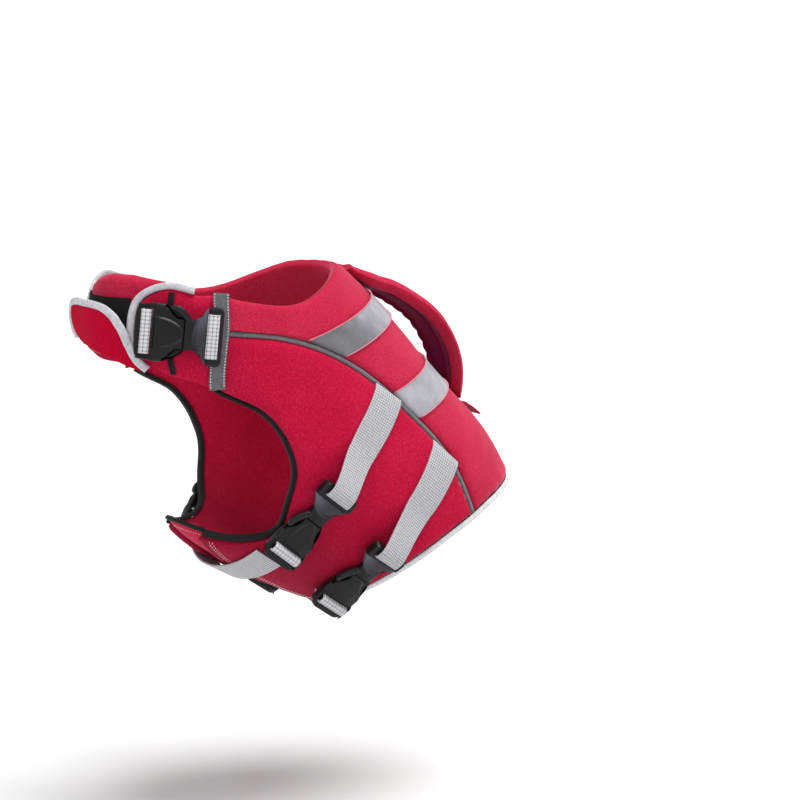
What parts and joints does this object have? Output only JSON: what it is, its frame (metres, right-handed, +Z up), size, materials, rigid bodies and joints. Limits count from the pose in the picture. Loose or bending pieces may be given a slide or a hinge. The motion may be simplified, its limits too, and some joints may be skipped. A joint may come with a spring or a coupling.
{
  "type": "dog safety vest",
  "caption": "Padded safety vest for a dog in its worn shape, with side-release buckles, reflective bands, neck flap and a carry handle along the back.",
  "frame": {"origin": "inner face of the back panel at the middle of the back, where the vest rests on its wearer", "axes": "+Z up, the wearer faces -Y, +X is the wearer's left side"},
  "size_m": [0.246, 0.4186, 0.3253],
  "materials": {
    "red_cloth": "brushed polyester over foam",
    "dark_red_cloth": "woven tape",
    "black_cloth": "woven",
    "grey_trim": "woven tape",
    "pale_binding": "woven tape",
    "reflective_cloth": "satin silver",
    "silver_webbing": "fine square weave",
    "buckle_plastic": "satin moulded"
  },
  "bodies": {
    "root": {"back_panel": "red_cloth", "side_panel_left": "red_cloth", "side_panel_right": "red_cloth", "belly_panel": "red_cloth", "neck_band_left": "red_cloth", "neck_band_right": "red_cloth", "throat_pad": "red_cloth", "throat_flap": "red_cloth", "carry_handle": "red_cloth", "leash_tab": "dark_red_cloth", "throat_fastener": "black_cloth", "piping_left": "grey_trim", "piping_right": "grey_trim", "neck_strip_left": "grey_trim", "neck_strip_right": "grey_trim", "keeper_left": "black_cloth", "keeper_right": "black_cloth", "hem_binding": "pale_binding", "throat_flap_binding": "pale_binding", "neck_band_binding_left": "pale_binding", "neck_band_binding_right": "pale_binding", "armhole_binding_left": "black_cloth", "armhole_binding_right": "black_cloth", "belly_binding": "black_cloth", "lower_binding_left": "dark_red_cloth", "lower_binding_right": "dark_red_cloth", "reflective_band_front": "reflective_cloth", "reflective_band_rear": "reflective_cloth", "strap_left_front": "silver_webbing", "strap_left_rear": "silver_webbing", "strap_right_front": "silver_webbing", "strap_right_rear": "silver_webbing", "belly_loop_left_front": "silver_webbing", "belly_loop_left_rear": "silver_webbing", "belly_loop_right_front": "silver_webbing", "belly_loop_right_rear": "silver_webbing", "belly_strap": "silver_webbing", "neck_loop_front": "silver_webbing", "neck_loop_rear": "silver_webbing", "buckle_female_left_front": "buckle_plastic", "buckle_female_left_rear": "buckle_plastic", "buckle_female_right_front": "buckle_plastic", "buckle_female_right_rear": "buckle_plastic", "buckle_male_left_front": "buckle_plastic", "buckle_male_left_rear": "buckle_plastic", "buckle_male_right_front": "buckle_plastic", "buckle_male_right_rear": "buckle_plastic", "neck_buckle_female": "buckle_plastic", "neck_buckle_male": "buckle_plastic"}
  },
  "joints": []
}
